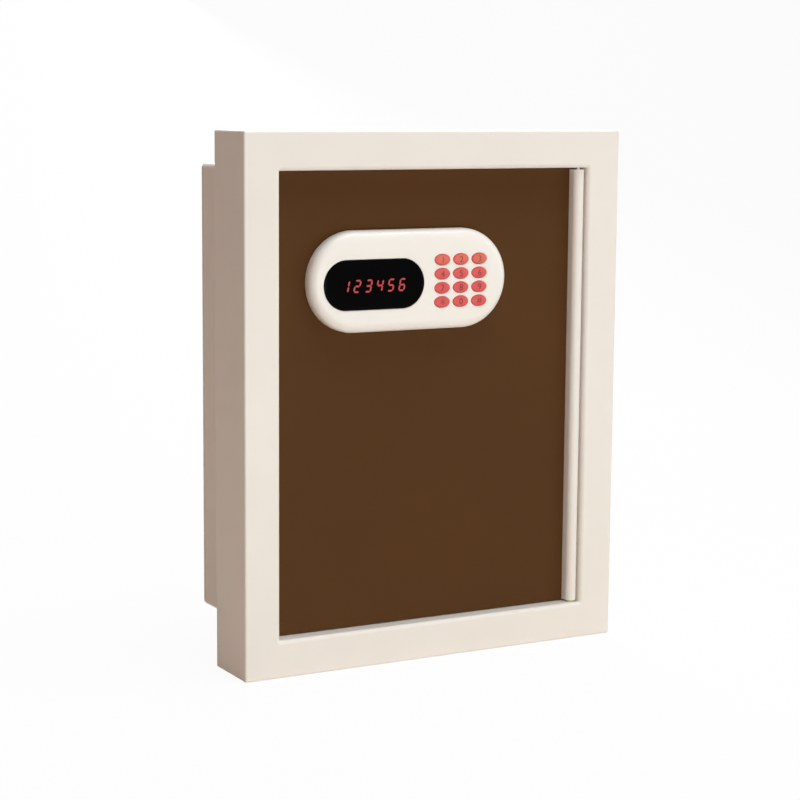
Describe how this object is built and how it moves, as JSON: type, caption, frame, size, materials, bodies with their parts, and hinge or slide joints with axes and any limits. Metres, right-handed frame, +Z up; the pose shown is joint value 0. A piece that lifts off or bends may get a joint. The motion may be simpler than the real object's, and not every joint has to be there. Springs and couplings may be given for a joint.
{
  "type": "hotel safe",
  "caption": "Shallow wall safe: a deep folded frame with a smaller box behind, a set-back hinged door, a keypad with a display, and motor-driven bolts.",
  "frame": {"origin": "centre of the back panel's rear face, which stands against the wall or the cupboard's back", "axes": "+Y into the wall, so the door faces -Y; +Z up; +X to the right of someone who faces the door"},
  "size_m": [0.4, 0.1711, 0.5],
  "materials": {
    "cream_paint": "satin powder coat",
    "brown_face": "matt brown coat",
    "cream_plastic": "satin moulded",
    "black_window": "gloss",
    "red_rubber": "satin",
    "dark_rubber": "matt",
    "zinc_steel": "zinc plated",
    "brass": "turned",
    "board_green": "solder mask",
    "black_plastic": "moulded",
    "cell_jacket": "printed jacket, plain",
    "grey_felt": "felt",
    "white_nylon": "moulded nylon",
    "grey_cable": "ribbon cable"
  },
  "bodies": {
    "safe_body": {"front_frame": "cream_paint", "inner_box": "cream_paint", "back_panel": "cream_paint", "pivot_bush_top": "brass", "pivot_bush_bottom": "brass", "thrust_washer": "brass", "strike_plate": "zinc_steel", "door_stop_top": "cream_paint", "door_stop_bottom": "cream_paint", "floor_mat": "grey_felt"},
    "door": {"door_leaf": "cream_paint", "door_facing": "brown_face", "hinge_stile": "cream_paint", "pivot_pin_top": "zinc_steel", "pivot_pin_bottom": "zinc_steel", "keypad_housing": "cream_plastic", "display_window": "black_window", "display_module": "black_plastic", "keypad_board": "board_green", "key_mat": "dark_rubber", "bolt_guide_upper": "zinc_steel", "bolt_guide_lower": "zinc_steel", "lock_plate": "zinc_steel", "gear_axle": "zinc_steel", "gear_motor": "zinc_steel", "motor_bracket": "zinc_steel", "control_board": "board_green", "ribbon_cable": "grey_cable", "battery_box": "black_plastic", "back_cover": "cream_paint", "battery_1": "cell_jacket", "battery_2": "cell_jacket", "battery_3": "cell_jacket", "battery_4": "cell_jacket", "cover_screw_1": "zinc_steel", "cover_screw_2": "zinc_steel", "cover_screw_3": "zinc_steel", "cover_screw_4": "zinc_steel"},
    "bolts": {"bolt_bar": "zinc_steel", "bolt_upper": "zinc_steel", "bolt_lower": "zinc_steel"},
    "drive_gear": {"drive_gear": "white_nylon"},
    "motor_pinion": {"motor_pinion": "brass"},
    "battery_lid": {"battery_lid": "cream_paint"},
    "reset_button": {"reset_button": "red_rubber"},
    "key_1": {"key_1": "red_rubber"},
    "key_2": {"key_2": "red_rubber"},
    "key_3": {"key_3": "red_rubber"},
    "key_4": {"key_4": "red_rubber"},
    "key_5": {"key_5": "red_rubber"},
    "key_6": {"key_6": "red_rubber"},
    "key_7": {"key_7": "red_rubber"},
    "key_8": {"key_8": "red_rubber"},
    "key_9": {"key_9": "red_rubber"},
    "key_star": {"key_star": "red_rubber"},
    "key_0": {"key_0": "red_rubber"},
    "key_hash": {"key_hash": "red_rubber"}
  },
  "joints": [
    {"name": "door_hinge", "type": "hinge", "parent": "safe_body", "child": "door", "pos_m": [0.158, -0.1615, 0], "axis": [0, 0, 1], "range_deg": [0, 100]},
    {"name": "bolt_slide", "type": "slide", "parent": "door", "child": "bolts", "axis": [-1, 0, 0], "range_m": [0, 0.0165]},
    {"name": "drive_gear_spin", "type": "hinge", "parent": "door", "child": "drive_gear", "pos_m": [-0.055, -0.142, 0.006], "axis": [0, 1, 0], "range_deg": [0, 158]},
    {"name": "motor_pinion_spin", "type": "hinge", "parent": "door", "child": "motor_pinion", "pos_m": [-0.055, -0.144, 0.022], "axis": [0, 1, 0], "range_deg": [-473, 0]},
    {"name": "battery_lid_slide", "type": "slide", "parent": "door", "child": "battery_lid", "axis": [-1, 0, 0], "range_m": [0, 0.05]},
    {"name": "reset_button_press", "type": "slide", "parent": "door", "child": "reset_button", "axis": [0, -1, 0], "range_m": [0, 0.0015], "stiffness_N_per_m": 500},
    {"name": "key_1_press", "type": "slide", "parent": "door", "child": "key_1", "axis": [0, 1, 0], "range_m": [0, 0.0012], "stiffness_N_per_m": 600},
    {"name": "key_2_press", "type": "slide", "parent": "door", "child": "key_2", "axis": [0, 1, 0], "range_m": [0, 0.0012], "stiffness_N_per_m": 600},
    {"name": "key_3_press", "type": "slide", "parent": "door", "child": "key_3", "axis": [0, 1, 0], "range_m": [0, 0.0012], "stiffness_N_per_m": 600},
    {"name": "key_4_press", "type": "slide", "parent": "door", "child": "key_4", "axis": [0, 1, 0], "range_m": [0, 0.0012], "stiffness_N_per_m": 600},
    {"name": "key_5_press", "type": "slide", "parent": "door", "child": "key_5", "axis": [0, 1, 0], "range_m": [0, 0.0012], "stiffness_N_per_m": 600},
    {"name": "key_6_press", "type": "slide", "parent": "door", "child": "key_6", "axis": [0, 1, 0], "range_m": [0, 0.0012], "stiffness_N_per_m": 600},
    {"name": "key_7_press", "type": "slide", "parent": "door", "child": "key_7", "axis": [0, 1, 0], "range_m": [0, 0.0012], "stiffness_N_per_m": 600},
    {"name": "key_8_press", "type": "slide", "parent": "door", "child": "key_8", "axis": [0, 1, 0], "range_m": [0, 0.0012], "stiffness_N_per_m": 600},
    {"name": "key_9_press", "type": "slide", "parent": "door", "child": "key_9", "axis": [0, 1, 0], "range_m": [0, 0.0012], "stiffness_N_per_m": 600},
    {"name": "key_star_press", "type": "slide", "parent": "door", "child": "key_star", "axis": [0, 1, 0], "range_m": [0, 0.0012], "stiffness_N_per_m": 600},
    {"name": "key_0_press", "type": "slide", "parent": "door", "child": "key_0", "axis": [0, 1, 0], "range_m": [0, 0.0012], "stiffness_N_per_m": 600},
    {"name": "key_hash_press", "type": "slide", "parent": "door", "child": "key_hash", "axis": [0, 1, 0], "range_m": [0, 0.0012], "stiffness_N_per_m": 600}
  ],
  "couplings": [
    {"joint": "drive_gear_spin", "follows": "bolt_slide", "rad_per_m": 166.67},
    {"joint": "motor_pinion_spin", "follows": "bolt_slide", "rad_per_m": -500}
  ]
}
